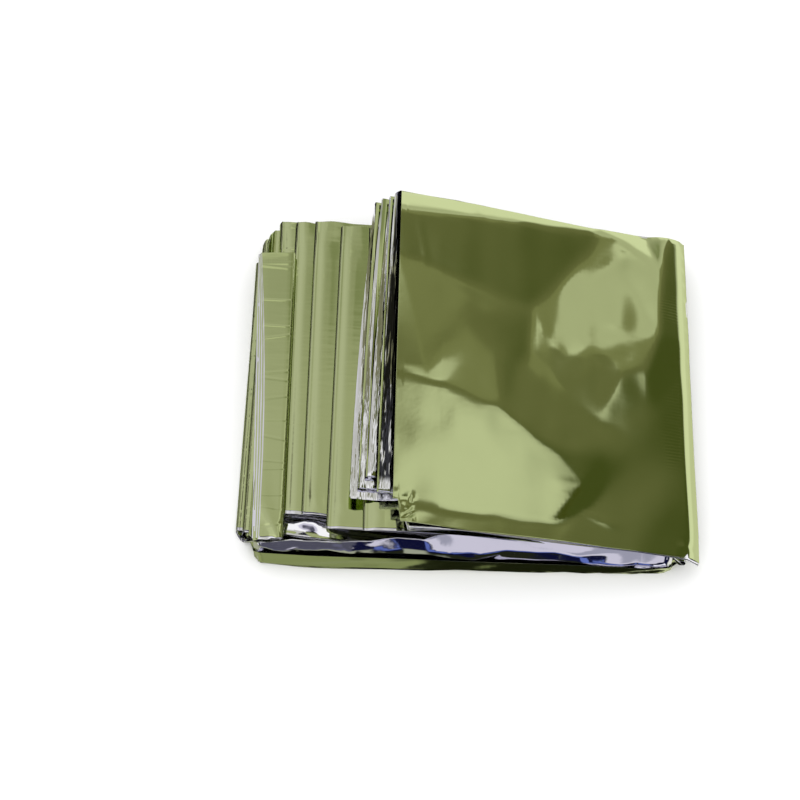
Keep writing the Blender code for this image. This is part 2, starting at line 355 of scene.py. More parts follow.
# A facet that tips back at the back right: its three corners.
BACK_FACET = ((93.8, 82.0), (118.7, 64.5), (125.0, 82.0))
BACK_FACET_SLOPE = 0.25


def along(x, y, x1, y1, x2, y2):
    """(distance to the left of a line, share of the way along it, its length)."""
    dx, dy = x2 - x1, y2 - y1
    length = math.hypot(dx, dy)
    share = ((x - x1) * dx + (y - y1) * dy) / length**2
    side = ((y - y1) * dx - (x - x1) * dy) / length
    return side, share, length


def crease(x, y, line):
    side, share, length = along(x, y, line.x1, line.y1, line.x2, line.y2)
    past = np.maximum(np.maximum(-share, share - 1.0), 0.0) * length
    return line.rise * np.exp(-((side / line.width) ** 2) - (past / (CREASE_END * line.width)) ** 2)


def panel_facets():
    """The triangles between the panel's points, with every fold an edge of some of them."""
    names = [point.name for point in PANEL_POINTS]
    places = [Vector((point.x, point.y)) for point in PANEL_POINTS]
    edges = []
    for fold in PANEL_FOLDS:
        edges += [(names.index(a), names.index(b)) for a, b in zip(fold, fold[1:])]
    _, _, faces, originals, *_ = delaunay_2d_cdt(places, edges, [], 0, SAME_POINT)
    return [[originals[corner][0] for corner in face] for face in faces]


def facet_values(x, y, triangles, columns):
    """The points' columns, read between them over the flat facets."""
    values = [np.zeros(np.shape(x)) for _ in columns]
    for face in triangles:
        a, b, c = (PANEL_POINTS[corner] for corner in face)
        area = (b.x - a.x) * (c.y - a.y) - (c.x - a.x) * (b.y - a.y)
        share_b = ((x - a.x) * (c.y - a.y) - (c.x - a.x) * (y - a.y)) / area
        share_c = ((b.x - a.x) * (y - a.y) - (x - a.x) * (b.y - a.y)) / area
        inside = (share_b >= 0) & (share_c >= 0) & (share_b + share_c <= 1)
        for value, column in zip(values, columns):
            p, q, r = (getattr(point, column) for point in (a, b, c))
            value[inside] = (p + (q - p) * share_b + (r - p) * share_c)[inside]
    return values


def panel_map():
    """How far the panel lies off its even slope, over a grid of places."""
    across = np.arange(MAP_LOW[0], MAP_HIGH[0] + MAP_STEP / 2, MAP_STEP)
    along_y = np.arange(MAP_LOW[1], MAP_HIGH[1] + MAP_STEP / 2, MAP_STEP)
    x, y = np.meshgrid(across, along_y, indexing="ij")
    scaled = x / WANDER_LENGTHS[0], y / WANDER_LENGTHS[1]
    stray_x, stray_y = (smooth_noise(*scaled, start) for start in WANDER_STARTS)
    x, y = x + WANDER * stray_x, y + WANDER * stray_y
    triangles = panel_facets()
    reach = facet_values(x, y, triangles, ["round"])[0]
    total, weight = np.zeros(x.shape), 0.0
    for ring in ROUND_RINGS:
        for turn in range(ROUND_TURNS):
            angle = math.tau * turn / ROUND_TURNS
            shifted = x + reach * ring * math.cos(angle), y + reach * ring * math.sin(angle)
            total += facet_values(*shifted, triangles, ["lift"])[0]
            weight += 1.0
    total /= weight
    for row in PANEL_CREASES:
        total += crease(x, y, row)
    return total


PANEL_MAP = panel_map()


def panel_creases(x, y):
    a = np.clip((x - MAP_LOW[0]) / MAP_STEP, 0.0, PANEL_MAP.shape[0] - LAST_CELL)
    b = np.clip((y - MAP_LOW[1]) / MAP_STEP, 0.0, PANEL_MAP.shape[1] - LAST_CELL)
    i, j = a.astype(int), b.astype(int)
    s, t = a - i, b - j
    near = lerp(PANEL_MAP[i, j], PANEL_MAP[i + 1, j], s)
    far = lerp(PANEL_MAP[i, j + 1], PANEL_MAP[i + 1, j + 1], s)
    return lerp(near, far, t)


def back_facet(x, y):
    """How far a place lies inside the back facet, from its nearer long side."""
    start, foot, end = BACK_FACET
    beyond = along(x, y, *start, *foot)[0]
    before = along(x, y, *foot, *end)[0]
    return np.maximum(np.minimum(beyond, before), 0.0)


def panel_height(x, y, depth, from_back, from_right):
    across = (x - PANEL_ENDS[0]) / (PANEL_ENDS[1] - PANEL_ENDS[0])
    plain = lerp(lerp(*PANEL_LEFT, depth), lerp(*PANEL_RIGHT, depth), across)
    rim = RIM[0] * np.clip((RIM[1] - x) / (RIM[1] - PANEL_ENDS[0]), 0.0, 1.0)
    bevel = lerp(*BEVEL, depth)
    corner = CORNER[0] * (1.0 - depth * STRIP_WIDTH / CORNER[1])
    tipped = (
        RIM_SLOPE * np.maximum(rim - from_back, 0.0)
        + BEVEL_SLOPE * np.maximum(bevel - from_right, 0.0)
        + CORNER_SLOPE * np.maximum(corner - from_right, 0.0)
        + BACK_FACET_SLOPE * back_facet(x, y)
    )
    return plain - tipped + panel_creases(x, y)


# ---------------------------------------------------------------- creases through the whole pile

PILE_CREASES = (
    Crease(-57.5, -64.0, -50.0, -80.0, 0.50, 1.5),
    Crease(-36.0, -58.0, -32.0, -66.0, 0.25, 1.2),
    Crease(-23.0, -64.0, -16.0, -74.0, 0.30, 1.2),
)

# How the top of a layer swells beside its left fold: a dip close to it, then a swelling that is steep
# towards the fold and slow on the other side.
DIP, DIP_PLACE, DIP_WIDTH = 0.12, 1.1, 0.5
SWELL, SWELL_PLACE, SWELL_WIDTHS = 0.48, 4.6, (2.0, 5.5)
RIDGE, RIDGE_PLACE, RIDGE_WIDTH = 0.30, 2.1, 0.5
RIDGED = ("low_1", "low_3", "low_4")
WAVE_HEIGHT = 8.0  # from this height on, the creases have their full rise


def pile_creases(x, y):
    total = np.zeros(np.shape(x))
    for row in PILE_CREASES:
        total = total + crease(x, y, row)
    return total


def shared_wave(x, y, z):
    """What moves every layer alike, and grows with the height."""
    return pile_creases(x, y) * np.clip(z / WAVE_HEIGHT, 0.0, 1.0)


# ---------------------------------------------------------------- the loose front

Front = namedtuple("Front", "x y wall top lean")
LOOSE_FRONT = (
    Front(-63.5, -76.0, 0.5, 0.5, 0.0),
    Front(-60.5, -85.3, 9.6, 12.5, 3.0),
    Front(-34.0, -86.7, 10.4, 14.0, 3.5),
    Front(-16.0, -86.7, 10.2, 17.0, 4.0),
    Front(14.0, -86.7, 10.0, 18.0, 4.5),
    Front(30.0, -86.5, 9.0, 18.5, 8.0),
    Front(74.0, -86.0, 7.5, 16.5, 10.0),
    Front(110.0, -85.5, 5.0, 12.5, 9.0),
    Front(118.0, -84.5, 4.0, 9.0, 5.0),
    Front(123.5, -81.0, 0.5, 0.5, 0.0),
)
LOOSE_EASE = 3.0  # over this length it rises from the floor at each end
# How far back the wall's top stands, and how much more at the left.
LEAN, LEAN_LEFT, LEAN_EASE = 0.3, 0.3, (60.0, 90.0)
LEAN_CURVE = 1.5
WALL_ROWS = 9.0
ON_FLOOR = 0.1
INNER = (0.6, 0.35)  # how far behind the wall the curtain stands, and how much further each ply
CURTAIN_FOOT = 0.85  # the share of the wall's height at which the curtain begins to lean
CURTAIN_PLY_LIFT = 0.22
# The share of the curtain's lean that its lower half takes, along x.
CURTAIN_BENDS = (80.0, 100.0), (0.22, 0.5)
CURTAIN_LEFT_EASE, CURTAIN_FADE = (10.0, 20.0), (3.0, 4.0)
CRUMPLED_Y, CRUMPLED_Z, CRUMPLED_FROM = 0.8, 0.5, 6.0
LOOSE_BACK = (30.0, 40.0)  # from here on, over this length, the layer lies as it did


def loose(x, column):
    places = [row.x for row in LOOSE_FRONT]
    return np.interp(x, places, [getattr(row, column) for row in LOOSE_FRONT])


def wall_front(x, w, foot_y, wall, leans):
    """The low green wall: (y, z) at a distance w from the ply's front edge, which is the wall's top."""
    up = np.clip(1.0 - w / np.maximum(wall, ON_FLOOR), 0.0, 1.0)
    wave = WALL.rise * facets(x, WALL_ROWS * up, WALL) * np.sin(math.pi * np.clip(up, 0, 1))
    new_y = np.where(w < wall, foot_y + leans * up**LEAN_CURVE + wave, foot_y + (w - wall))
    return new_y, np.where(w < wall, ON_FLOOR + wall * up, ON_FLOOR)


def curtain_front(x, w, ply, foot_y, wall, top, lean, leans):
    """The silver curtain behind and above the wall: upright at first, then leaning back in two parts."""
    inner = INNER[0] + INNER[1] * ply
    rise = wall * CURTAIN_FOOT
    slope_length = np.hypot(top - rise, lean)
    height = slope_length + rise
    on_lean, on_wall = w < slope_length, w < height
    up_lean = np.clip(1.0 - w / np.maximum(slope_length, ON_FLOOR), 0.0, 1.0)
    up_wall = np.clip(1.0 - (w - slope_length) / np.maximum(rise, ON_FLOOR), 0.0, 1.0)
    wall_y = foot_y + inner + leans * up_wall**LEAN_CURVE
    bend = np.interp(x, *CURTAIN_BENDS)
    bent = np.where(up_lean < 0.5, 2 * bend * up_lean, lerp(bend, 1.0, 2 * up_lean - 1.0))
    lean_y = foot_y + inner + leans + lean * bent
    at_left = soft((CURTAIN_LEFT_EASE[0] - x) / CURTAIN_LEFT_EASE[1])
    crumple = CURTAIN.rise * facets(x, w, CURTAIN)
    crumple = crumple + CURTAIN_LEFT.rise * facets(x, w, CURTAIN_LEFT) * at_left
    crumple = crumple * soft((slope_length + CURTAIN_FADE[0] - w) / CURTAIN_FADE[1])
    new_y = np.where(on_lean, lean_y, np.where(on_wall, wall_y, foot_y + inner + (w - height)))
    new_z = np.where(on_lean, rise + (top - rise) * up_lean, np.where(on_wall, rise * up_wall, 0.0))
    lifted = crumple * CRUMPLED_Z * np.clip(new_z / CRUMPLED_FROM, 0, 1)
    return new_y + crumple * CRUMPLED_Y, new_z + ON_FLOOR + CURTAIN_PLY_LIFT * ply + lifted


def loose_front(x, w, ply, y, z):
    """Ply 0 of the bottom layer stands up as a low green wall, plies 1 and 2 as a silver curtain."""
    stands = soft((x - LOOSE_FRONT[0].x) / LOOSE_EASE) * soft((LOOSE_FRONT[-1].x - x) / LOOSE_EASE)
    foot_y, wall, top, lean = (loose(x, column) for column in ("y", "wall", "top", "lean"))
    leans = LEAN_LEFT * soft((LEAN_EASE[0] - x) / LEAN_EASE[1]) + LEAN
    if ply == 0:
        new_y, new_z = wall_front(x, w, foot_y, wall, leans)
    else:
        new_y, new_z = curtain_front(x, w, ply, foot_y, wall, top, lean, leans)
    back = soft((w - LOOSE_BACK[0]) / LOOSE_BACK[1])
    return lerp(lerp(y, new_y, stands), y, back), lerp(lerp(z, new_z, stands), z, back)


# ---------------------------------------------------------------- the sheet's shape


def beside_fold(distance):
    width = np.where(distance < SWELL_PLACE, *SWELL_WIDTHS)
    swell = SWELL * np.exp(-(((distance - SWELL_PLACE) / width) ** 2))
    return swell - DIP * np.exp(-(((distance - DIP_PLACE) / DIP_WIDTH) ** 2))


def strip_point(i, across, w):
    """The middle of the strip on layer i, at a share of the way from its left end to its right end."""
    layer = LAYERS[i]
    depth = w / STRIP_WIDTH
    left, right = lerp(*layer.left, depth), lerp(*layer.right, depth)
    x = lerp(left, right, across)
    if layer in END_FLAP:
        x = x + FLAP_BOW * np.sin(math.pi * np.clip(depth, 0.0, 1.0)) * (1.0 - across)
    front, back = lerp(*layer.front, across), lerp(*layer.back, across)
    beyond = np.clip(w - FRONT_BAND, 0.0, None) / (STRIP_WIDTH - FRONT_BAND)
    y = np.where(w < FRONT_BAND, front + w, lerp(front + FRONT_BAND, back, beyond))
    z = pile_height(layer.level, x)
    if layer in TOP:
        below = pile_height(PILE[-1].level, x)
        squeeze = lerp(TOP_SQUEEZE, 1.0, soft((x - SQUEEZE_START) / SQUEEZE_LENGTH))
        share = layer.level if layer.name == "panel" else layer.level * squeeze
        z = lerp(below, panel_height(x, y, depth, STRIP_WIDTH - w, right - x), share)
    if layer.name in STEPS:
        z = z + beside_fold(x - left)
    if layer.name in RIDGED:
        z = z + RIDGE * np.exp(-(((x - left - RIDGE_PLACE) / RIDGE_WIDTH) ** 2))
    return np.stack([x, y, z + shared_wave(x, y, z - SHEET / 2)], axis=-1)


def fold(start, end, share, reach, axis):
    """A point on the arc from start to end, as the share goes from ON_LAYER to 1."""
    half = (start - end) / 2
    angle = math.pi * (share - ON_LAYER) / (1.0 - ON_LAYER)
    turned = (start + end) / 2 + half * np.cos(angle)[:, None]
    turned[:, axis] += reach(half) * np.sin(angle)
    return turned


def strip(run, w):
    """The middle of the strip at any run, through layers and folds."""
    i = np.minimum(np.floor(run).astype(int), len(LAYERS) - 1)
    share = run - i
    points = np.zeros(np.shape(run) + (3,))
    for layer in range(len(LAYERS)):
        starts_left = layer % 2 == 0
        on = (i == layer) & (share <= ON_LAYER + SLACK)
        if on.any():
            across = share[on] / ON_LAYER
            points[on] = strip_point(layer, across if starts_left else 1.0 - across, w[on])
        turning = (i == layer) & (share > ON_LAYER + SLACK)
        if turning.any():
            sign = 1 if starts_left else -1
            ends = np.full(np.count_nonzero(turning), 1.0 if starts_left else 0.0)
            start = strip_point(layer, ends, w[turning])
            end = strip_point(min(layer + 1, len(LAYERS) - 1), ends, w[turning])

            def reach(half):
                return np.minimum(np.abs(half[:, 2]), FOLD_REACH) * sign

            points[turning] = fold(start, end, share[turning], reach, 0)
    return points


def strip_normal(run, w):
    last = len(LAYERS) - 1 + ON_LAYER
    before, after = np.clip(run - SMALL_RUN, 0.0, last), np.clip(run + SMALL_RUN, 0.0, last)
    along_run = strip(after, w) - strip(before, w)
    along_w = strip(run, w + SMALL_W) - strip(run, w - SMALL_W)
    normal = np.cross(along_run, along_w)
    return normal / np.maximum(np.linalg.norm(normal, axis=-1, keepdims=True), TINY)


def edge_of(ply, side, run):
    """Where a ply ends at the front, or at the back, with a slow wander of its own."""
    row = EDGES[ply]
    pair = (ply + 1) // 2 if side == "front" else ply // 2
    wander = sum(size * np.sin(turns * run + phase * pair) for size, turns, phase in EDGE_WAVES)
    if side == "front":
        return -(row.front + wander)
    return STRIP_WIDTH + row.back + BACK_WAVES * wander


def panel_place(run):
    """How far right of the panel's left end a run lies."""
    return (1.0 - (run - INDEX["panel"]) / ON_LAYER) * (PANEL_ENDS[1] - PANEL_ENDS[0])


def ripple(w, ply, wave):
    return np.sin(w / (wave.length[0] + wave.length[1] * ply) + wave.phase * ply)


def fan_panel(points, run, w, ply):
    """Lets the plies of the panel's cut end down in a fan."""
    row = FANNED[ply]
    place = panel_place(run)
    open_share = soft(1.0 - place / FAN_ROOT)
    depth = np.clip(w / STRIP_WIDTH, 0.0, 1.0)
    left = lerp(row.left_front, row.left_back, depth**2)
    drop = lerp(row.drop_front, row.drop_back, depth)
    moved = points.copy()
    moved[:, 0] -= left * (1.0 - place / FAN_ROOT).clip(0.0, 1.0)
    moved[:, 2] -= drop * open_share**FAN_CURVE
    if ply > 0:
        left_ease, right_ease, front_ease, back_ease = HIDDEN_EASES
        inside = soft(place / left_ease) * soft((PANEL_ENDS[1] - PANEL_ENDS[0] - place) / right_ease)
        inside = inside * soft(w / front_ease) * soft((STRIP_WIDTH - w) / back_ease)
        moved[:, 2] -= HIDDEN_DROP * inside
        rippled = ripple(w, ply, FAN_RIPPLE) * np.exp(-place / FAN_RIPPLE.fade)
        flute_length = FLUTE_LENGTHS[0] + FLUTE_LENGTHS[1] * math.sin(FLUTE_UNEVEN * ply)
        flute = np.sin(math.tau * place / flute_length + FLUTE_PHASE * ply + FLUTE_SLANT * w) * open_share
        share = 1.0 if ply > CALM_PLIES else CALM_SHARE
        moved[:, 2] += FAN_RIPPLE.rise * ply**0.5 * rippled + FLUTE * flute * share
    return moved


def fan_flap(points, run, w, ply):
    """Spreads the plies of the narrow flap's cut end a little way to the left."""
    share = (PLIES - 1 - ply) / (PLIES - 1)
    open_share = np.clip(1.0 - run / FLAP_OPEN, 0.0, 1.0)
    depth = np.clip(w / STRIP_WIDTH, 0.0, 1.0)
    moved = points.copy()
    moved[:, 0] -= (lerp(*FLAP_FAN_LEFT, depth) + FLAP_BOW * np.sin(math.pi * depth)) * share * open_share
    moved[:, 2] -= FLAP_FAN_DROP * share * open_share
    rippled = FLAP_RIPPLE.rise * ripple(w, ply, FLAP_RIPPLE) * open_share**2
    moved[:, 2] += rippled * share + (TOP_PLY_LIFT if ply == PLIES - 1 else 0.0)
    return moved


def crumple_corners(points, w):
    """The two crumpled front corners of the panel's top ply, raised in place."""
    x, y = points[:, 0].copy(), points[:, 1].copy()
    left, right = LEFT_CORNER_REACH, RIGHT_CORNER_REACH
    near = soft((left.x - x) / left.ease_x) * soft((left.front - w) / left.ease_front)
    points[:, 2] += LEFT_CORNER.rise * facets(x, y, LEFT_CORNER) * near
    near = soft((x - PANEL_ENDS[1] + right.x) / right.ease_x) * soft((right.front - w) / right.ease_front)
    points[:, 2] += RIGHT_CORNER.rise * facets(x, y, RIGHT_CORNER) * near
    return points


def crumple_steps(points, w, layer):
    """What shows of the steps in the panel's notch, and at their back ends, raised in place."""
    x, reach = points[:, 0], UNDER_NOTCH_REACH
    in_notch = (layer == INDEX["step_e"]) * soft((x - reach.x) / reach.ease_x)
    in_notch = in_notch * soft((reach.front - w) / reach.ease_front)
    points[:, 2] += UNDER_NOTCH.rise * (1.0 + facets(x, w, UNDER_NOTCH)) * in_notch
    raised = STEP_BACKS.rise * (1.0 + facets(x, w, STEP_BACKS))
    shown = np.isin(layer, STEP_INDICES) * soft((STEP_BACKS_END - x) / STEP_BACKS_EASE)
    points[:, 2] += raised * soft(1.0 - (STRIP_WIDTH - w) / BACK_BAND) * shown
    return points


def show_silver(points, w):
    """The silver of "low_4" that its last ply leaves bare at the front: a ramp, then crumples."""
    x, y, z = points.T
    reach, (ramp_rise, ramp_end, ramp_ease) = SILVER_REACH, SILVER_RAMP
    shown = soft((x - BARE[0] + reach.x) / reach.ease_x) * soft((BARE[1] + reach.x - x) / reach.ease_x)
    shown = shown * soft((reach.front - w) / reach.ease_front)
    ramp = BARE_RISE * soft(w / ramp_rise) * soft((ramp_end - w) / ramp_ease)
    crumple = SHOWN_SILVER.rise * facets(x, y, SHOWN_SILVER)
    crumple = crumple * soft((SILVER_CRUMPLED[0] - w) / SILVER_CRUMPLED[1])
    return np.stack([x, y, z + (ramp + crumple) * shown], axis=-1)


def loosen(points, w, ply):
    x, y, z = points.T
    y, z = loose_front(x, w, ply, y, z)
    return np.stack([x, y, z], axis=-1)


def ply_point(run, ply, w):
    """A point of one ply. Its offset from the middle of the strip is along the strip's own normal."""
    if len(run) == 0:
        return np.zeros((0, 3))
    points = strip(run, w) + strip_normal(run, w) * ((ply - (PLIES - 1) / 2) * PLY_GAP)
    layer = np.floor(run).astype(int)
    flat = run - layer <= ON_LAYER + SLACK

    def change(chosen, shape, *values):
        """Moves the chosen points by a shape function."""
        if chosen.any():
            points[chosen] = shape(points[chosen], *(value[chosen] for value in values))

    change(layer == INDEX["panel"], lambda p, r, v: fan_panel(p, r, v, ply), run, w)
    change(layer == 0, lambda p, r, v: fan_flap(p, r, v, ply), run, w)
    if ply == 0:
        change(layer == INDEX["panel"], crumple_corners, w)
    if ply == PLIES - 1:
        points = crumple_steps(points, w, layer)
    if ply == PLIES - 2:
        change((layer == INDEX["low_4"]) & flat, show_silver, w)
    if ply <= 2:
        change((layer == INDEX["bottom"]) & flat, lambda p, v: loosen(p, v, ply), w)
    return points


def set_back(run, ply):
    """How far a ply's front edge lies behind the strip's."""
    layer = np.floor(run).astype(int)
    place = panel_place(run)
    stretch = 1.0 + FANNED[ply].left_front / FAN_ROOT
    x = PANEL_ENDS[0] + place * stretch - FANNED[ply].left_front
    if ply == 0:
        cut = soft((NOTCH - place) / NOTCH_EASE)
    else:
        cut = soft((HIDDEN_NOTCH - x) / HIDDEN_NOTCH_EASE)
    back = np.where(layer == INDEX["panel"], FANNED[ply].front * cut, 0.0)
    if ply > 2:
        back = np.where(layer == INDEX["bottom"], INNER_SET_BACK[0] + INNER_SET_BACK[1] * ply, back)
    if ply == PLIES - 1:
        low = LAYERS[INDEX["low_4"]]
        x = lerp(low.left[0], low.right[0], (run - INDEX["low_4"]) / ON_LAYER)
        bare = soft((x - BARE[0]) / BARE_EASE) * soft((BARE[1] - x) / BARE_EASE)
        back = back + BARE_DEPTH * bare * (layer == INDEX["low_4"])
    return back


def front_of(ply, run):
    return edge_of(ply, "front", run) + set_back(run, ply)


def back_of(ply, run):
    return edge_of(ply, "back", run)


def sheet_point(run, lap):
    """Every point of the sheet, from its two numbers, in millimetres."""
    run, lap = np.asarray(run, float), np.asarray(lap, float)
    ply = np.minimum(np.floor(lap).astype(int), PLIES - 1)
    share = lap - ply
    points = np.zeros(np.shape(run) + (3,))
    for p in range(PLIES):
        forward = p % 2 == 0
        on = (ply == p) & (share <= ON_LAYER + SLACK)
        if on.any():
            across = share[on] / ON_LAYER
            w = lerp(front_of(p, run[on]), back_of(p, run[on]), across if forward else 1.0 - across)
            points[on] = ply_point(run[on], p, w)
        turning = (ply == p) & (share > ON_LAYER + SLACK)
        if turning.any():
            where, end_of = run[turning], back_of if forward else front_of
            start, end = (ply_point(where, q, end_of(q, where)) for q in (p, p + 1))
            sign = 1 if forward else -1

            def reach(half):
                return np.minimum(np.linalg.norm(half, axis=-1), PLY_FOLD_REACH) * sign

            points[turning] = fold(start, end, share[turning], reach, 1)
    return points


# ---------------------------------------------------------------- the mesh

# How finely the mesh is divided: the places of a layer's first columns, as shares of its width, and the
# number of even parts after them, and the same for a ply's rows. Hidden layers are divided coarsely, to
# keep to the triangle limit. Parts of the sheet pass through one another, mostly inside the pile.
FAN_COLUMNS = (25, 0.15)
PANEL_PARTS, STEP_PARTS, RIDGED_PARTS = 21, 3, 9
PARTS = {"bottom": 34, "end_flap_top": 5, "end_flap_under": 4, "low_2": 3}
UNDER_PARTS, HIDDEN_PARTS = 3, 5  # the first in the layers that lie under a step
STEP_SHARES = (0.0, 0.006, 0.012, 0.02, 0.03, 0.045, 0.065, 0.09, 0.13)
RIDGED_SHARES = (0.0, 0.008, 0.014, 0.02, 0.026, 0.034, 0.05)
FOLD_PARTS = 4
PLY_FOLD_PARTS = 3
FRONT_SHARES = (0.0, 0.008, 0.018, 0.032, 0.05, 0.075, 0.11)
INNER_PLIES, INNER_FRONT, INNER_BACK_PARTS = (3, 4, 5), (0.0, 0.018, 0.05, 0.11), 5
BACK_PARTS, OUTER_BACK_PARTS = 6, 18
TOP_BACK_SHARES = (0.18, 0.26, 0.34, 0.42, 0.50, 0.58, 0.66, 0.74, 0.81, 0.86, 0.91, 0.955, 1.0)


def then_even(near, parts):
    """The near shares, then even parts from the last of them to 1."""
    return np.concatenate([near, np.linspace(near[-1], 1.0, parts + 1)[1:]])


def layer_shares(i):
    """Where a layer's columns stand, as shares of the way from its left end to its right end."""
    name = LAYERS[i].name
    if name in STEPS:
        return then_even(STEP_SHARES, STEP_PARTS)
    if name in RIDGED:
        return then_even(RIDGED_SHARES, RIDGED_PARTS)
    if name == "panel":
        return then_even(np.linspace(0.0, FAN_COLUMNS[1], FAN_COLUMNS[0]), PANEL_PARTS)
    hidden = UNDER_PARTS if name.removesuffix("_under") in STEPS else HIDDEN_PARTS
    return np.linspace(0.0, 1.0, PARTS.get(name, hidden) + 1)


def walk(count, shares_of, parts_of):
    """The numbers along the sheet, back and forth through each layer or ply and the fold after it."""
    values = []
    for i in range(count):
        shares = shares_of(i)
        if i % 2:
            shares = (1.0 - shares)[::-1]
        values += [i + ON_LAYER * share for share in shares]
        if i + 1 < count:
            parts = np.arange(1, parts_of(i)) / parts_of(i)
            values += [i + ON_LAYER + (1.0 - ON_LAYER) * part for part in parts]
    return values


def ply_shares(ply):
    """Where a ply's rows stand, as shares of the way from its front edge to its back edge."""
    if ply == PLIES - 1:
        return np.array(FRONT_SHARES + TOP_BACK_SHARES)
    front, back_parts = FRONT_SHARES, BACK_PARTS if ply else OUTER_BACK_PARTS
    if ply in INNER_PLIES:
        front, back_parts = INNER_FRONT, INNER_BACK_PARTS
    return then_even(front, back_parts)


def fold_parts(ply):
    return PLY_FOLD_PARTS - 1 if ply in INNER_PLIES else PLY_FOLD_PARTS


# Parts of the sheet that show, and are divided more finely: layer, ply, shares of the layer across
# and of the ply from its front edge, and the number of cuts.
Fine = namedtuple("Fine", "layer ply across front cuts")
FINE = (
    Fine("panel", 0, (0.0, 1.0), (0.0, 1.0), 2),
    Fine("bottom", 0, (0.0, 1.0), (0.0, 0.075), 1),
    Fine("bottom", 1, (0.0, 1.0), (0.0, 0.12), 2),
    Fine("low_4", 6, (0.08, 0.35), (0.0, 0.12), 2),
)


def in_patch(run, lap, patch):
    i = INDEX[patch.layer]
    across = (run - i) / ON_LAYER
    if i % 2:
        across = 1.0 - across
    front = (lap - patch.ply) / ON_LAYER
    if patch.ply % 2:
        front = 1.0 - front
    return (
        patch.across[0] - SLACK <= across <= patch.across[1] + SLACK
        and patch.front[0] - SLACK <= front <= patch.front[1] + SLACK
    )


def sheet_mesh():
    runs = walk(len(LAYERS), layer_shares, lambda layer: FOLD_PARTS)
    laps = walk(PLIES, ply_shares, fold_parts)
    grid = bmesh.new()
    rows = [[grid.verts.new((run, lap, 0.0)) for lap in laps] for run in runs]
    for low, high in zip(rows, rows[1:]):
        for k in range(len(laps) - 1):
            grid.faces.new((low[k], low[k + 1], high[k + 1], high[k]))
    for patch in FINE:
        chosen = set()
        for face in grid.faces:
            if all(in_patch(v.co.x, v.co.y, patch) for v in face.verts):
                chosen.update(face.edges)
        bmesh.ops.subdivide_edges(grid, edges=list(chosen), cuts=patch.cuts, use_grid_fill=True)
    mesh = bpy.data.meshes.new("foil_sheet")
    grid.to_mesh(mesh)
    grid.free()
    flat = np.zeros(len(mesh.vertices) * 3)
    mesh.vertices.foreach_get("co", flat)
    flat = flat.reshape(-1, 3)
    points = (sheet_point(flat[:, 0], flat[:, 1]) - CENTRE) * MM
    mesh.vertices.foreach_set("co", points.astype(np.float32).ravel())
    mesh.update()
    mesh.shade_smooth()
    return mesh


# ---------------------------------------------------------------- materials

Foil = namedtuple("Foil", "name colour roughness wrinkle")
OLIVE = Foil("olive_foil", (0.585, 0.655, 0.33, 1.0), 0.085, 0.00002)
SILVER = Foil("silver_foil", (0.90, 0.90, 0.93, 1.0), 0.06, 0.00008)
BROAD_NOISE, FINE_NOISE, FINE_SHARE = (70.0, 3.0), (420.0, 2.0), 0.12  # scale and detail
ROUGHNESS_SHARES = (0.8, 1.25)

# Places and heights are in metres, in the finished frame. Three numbers are how often noise varies
# along each axis. A pair is where a mark begins and where it is complete: a place or a level of noise.
ON_STEPS, ON_FLAP = (-0.040, -0.052), (-0.079, -0.081)
STEP_WRINKLES, STEP_WRINKLE_HEIGHT = (30.0, 160.0, 30.0), 0.00007
STEP_LINES, LINE_WIDTH = (9.0, 62.0, 1.0), 0.045
LINE_HEIGHT, FLAP_LINE_HEIGHT = 0.000005, 0.000035
# Fine ribs beside the panel's right edge, broken up unevenly.
RIBS_X, RIBS_END, RIBS_Z, RIBS_Y = (0.0845, 0.0905), (0.0965, 0.0950), (0.008, 0.011), (0.056, 0.040)
RIB_TURNS, RIB_HEIGHT, RIB_WANDER = math.tau / 0.0016, 0.000009, 5.0
RIB_BREAKS, RIBS_LEFT = (60.0, 140.0, 1.0), (0.42, 0.62)
STREAKS, STREAK_HEIGHT, STREAKS_FROM = (800.0, 16.0, 800.0), 0.00016, (-0.072, -0.066)
# The silver deep in the panel's fan is painted dark, a painted shade under the panel itself: right of a
# slanted line, above the steps, and between the fine streaks. No reflection makes it dark.
SILVER_PAINTED_SHADE = (0.045, 0.045, 0.055, 1.0)
DEEP_SLANT, DEEP_FROM, DEEP_TO = -0.037, (-0.0378, -0.0370), (-0.026, -0.029)
DEEP_ABOVE, DEEP_BEHIND, DEEP_STREAKS = (0.022, 0.025), (-0.064, -0.060), (0.62, 0.54)


def node(tree, kind, **inputs):
    made = tree.nodes.new(kind)
    for name, value in inputs.items():
        made.inputs[name.replace("_", " ")].default_value = value
    return made


def calculate(tree, operation, *values):
    """The result of one step of arithmetic on numbers and sockets."""
    made = tree.nodes.new("ShaderNodeMath")
    made.operation = operation
    for socket, value in zip(made.inputs, values):
        if isinstance(value, float):
            socket.default_value = value
        else:
            tree.links.new(value, socket)
    return made.outputs["Value"]


def ease(tree, value, low, high, first=0.0, last=1.0):
    """Goes smoothly from the first number, where the value is low, to the last, where it is high."""
    made = node(tree, "ShaderNodeMapRange", From_Min=low, From_Max=high, To_Min=first, To_Max=last)
    made.interpolation_type = "SMOOTHSTEP"
    tree.links.new(value, made.inputs["Value"])
    return made.outputs["Result"]


def mix(tree, share, below, above):
    """One colour over another. The lower one is a colour or a socket."""
    made = tree.nodes.new("ShaderNodeMix")
    made.data_type = "RGBA"
    tree.links.new(share, made.inputs["Factor"])
    if isinstance(below, tuple):
        made.inputs["A"].default_value = below
    else:
        tree.links.new(below, made.inputs["A"])
    made.inputs["B"].default_value = above
    return made.outputs["Result"]


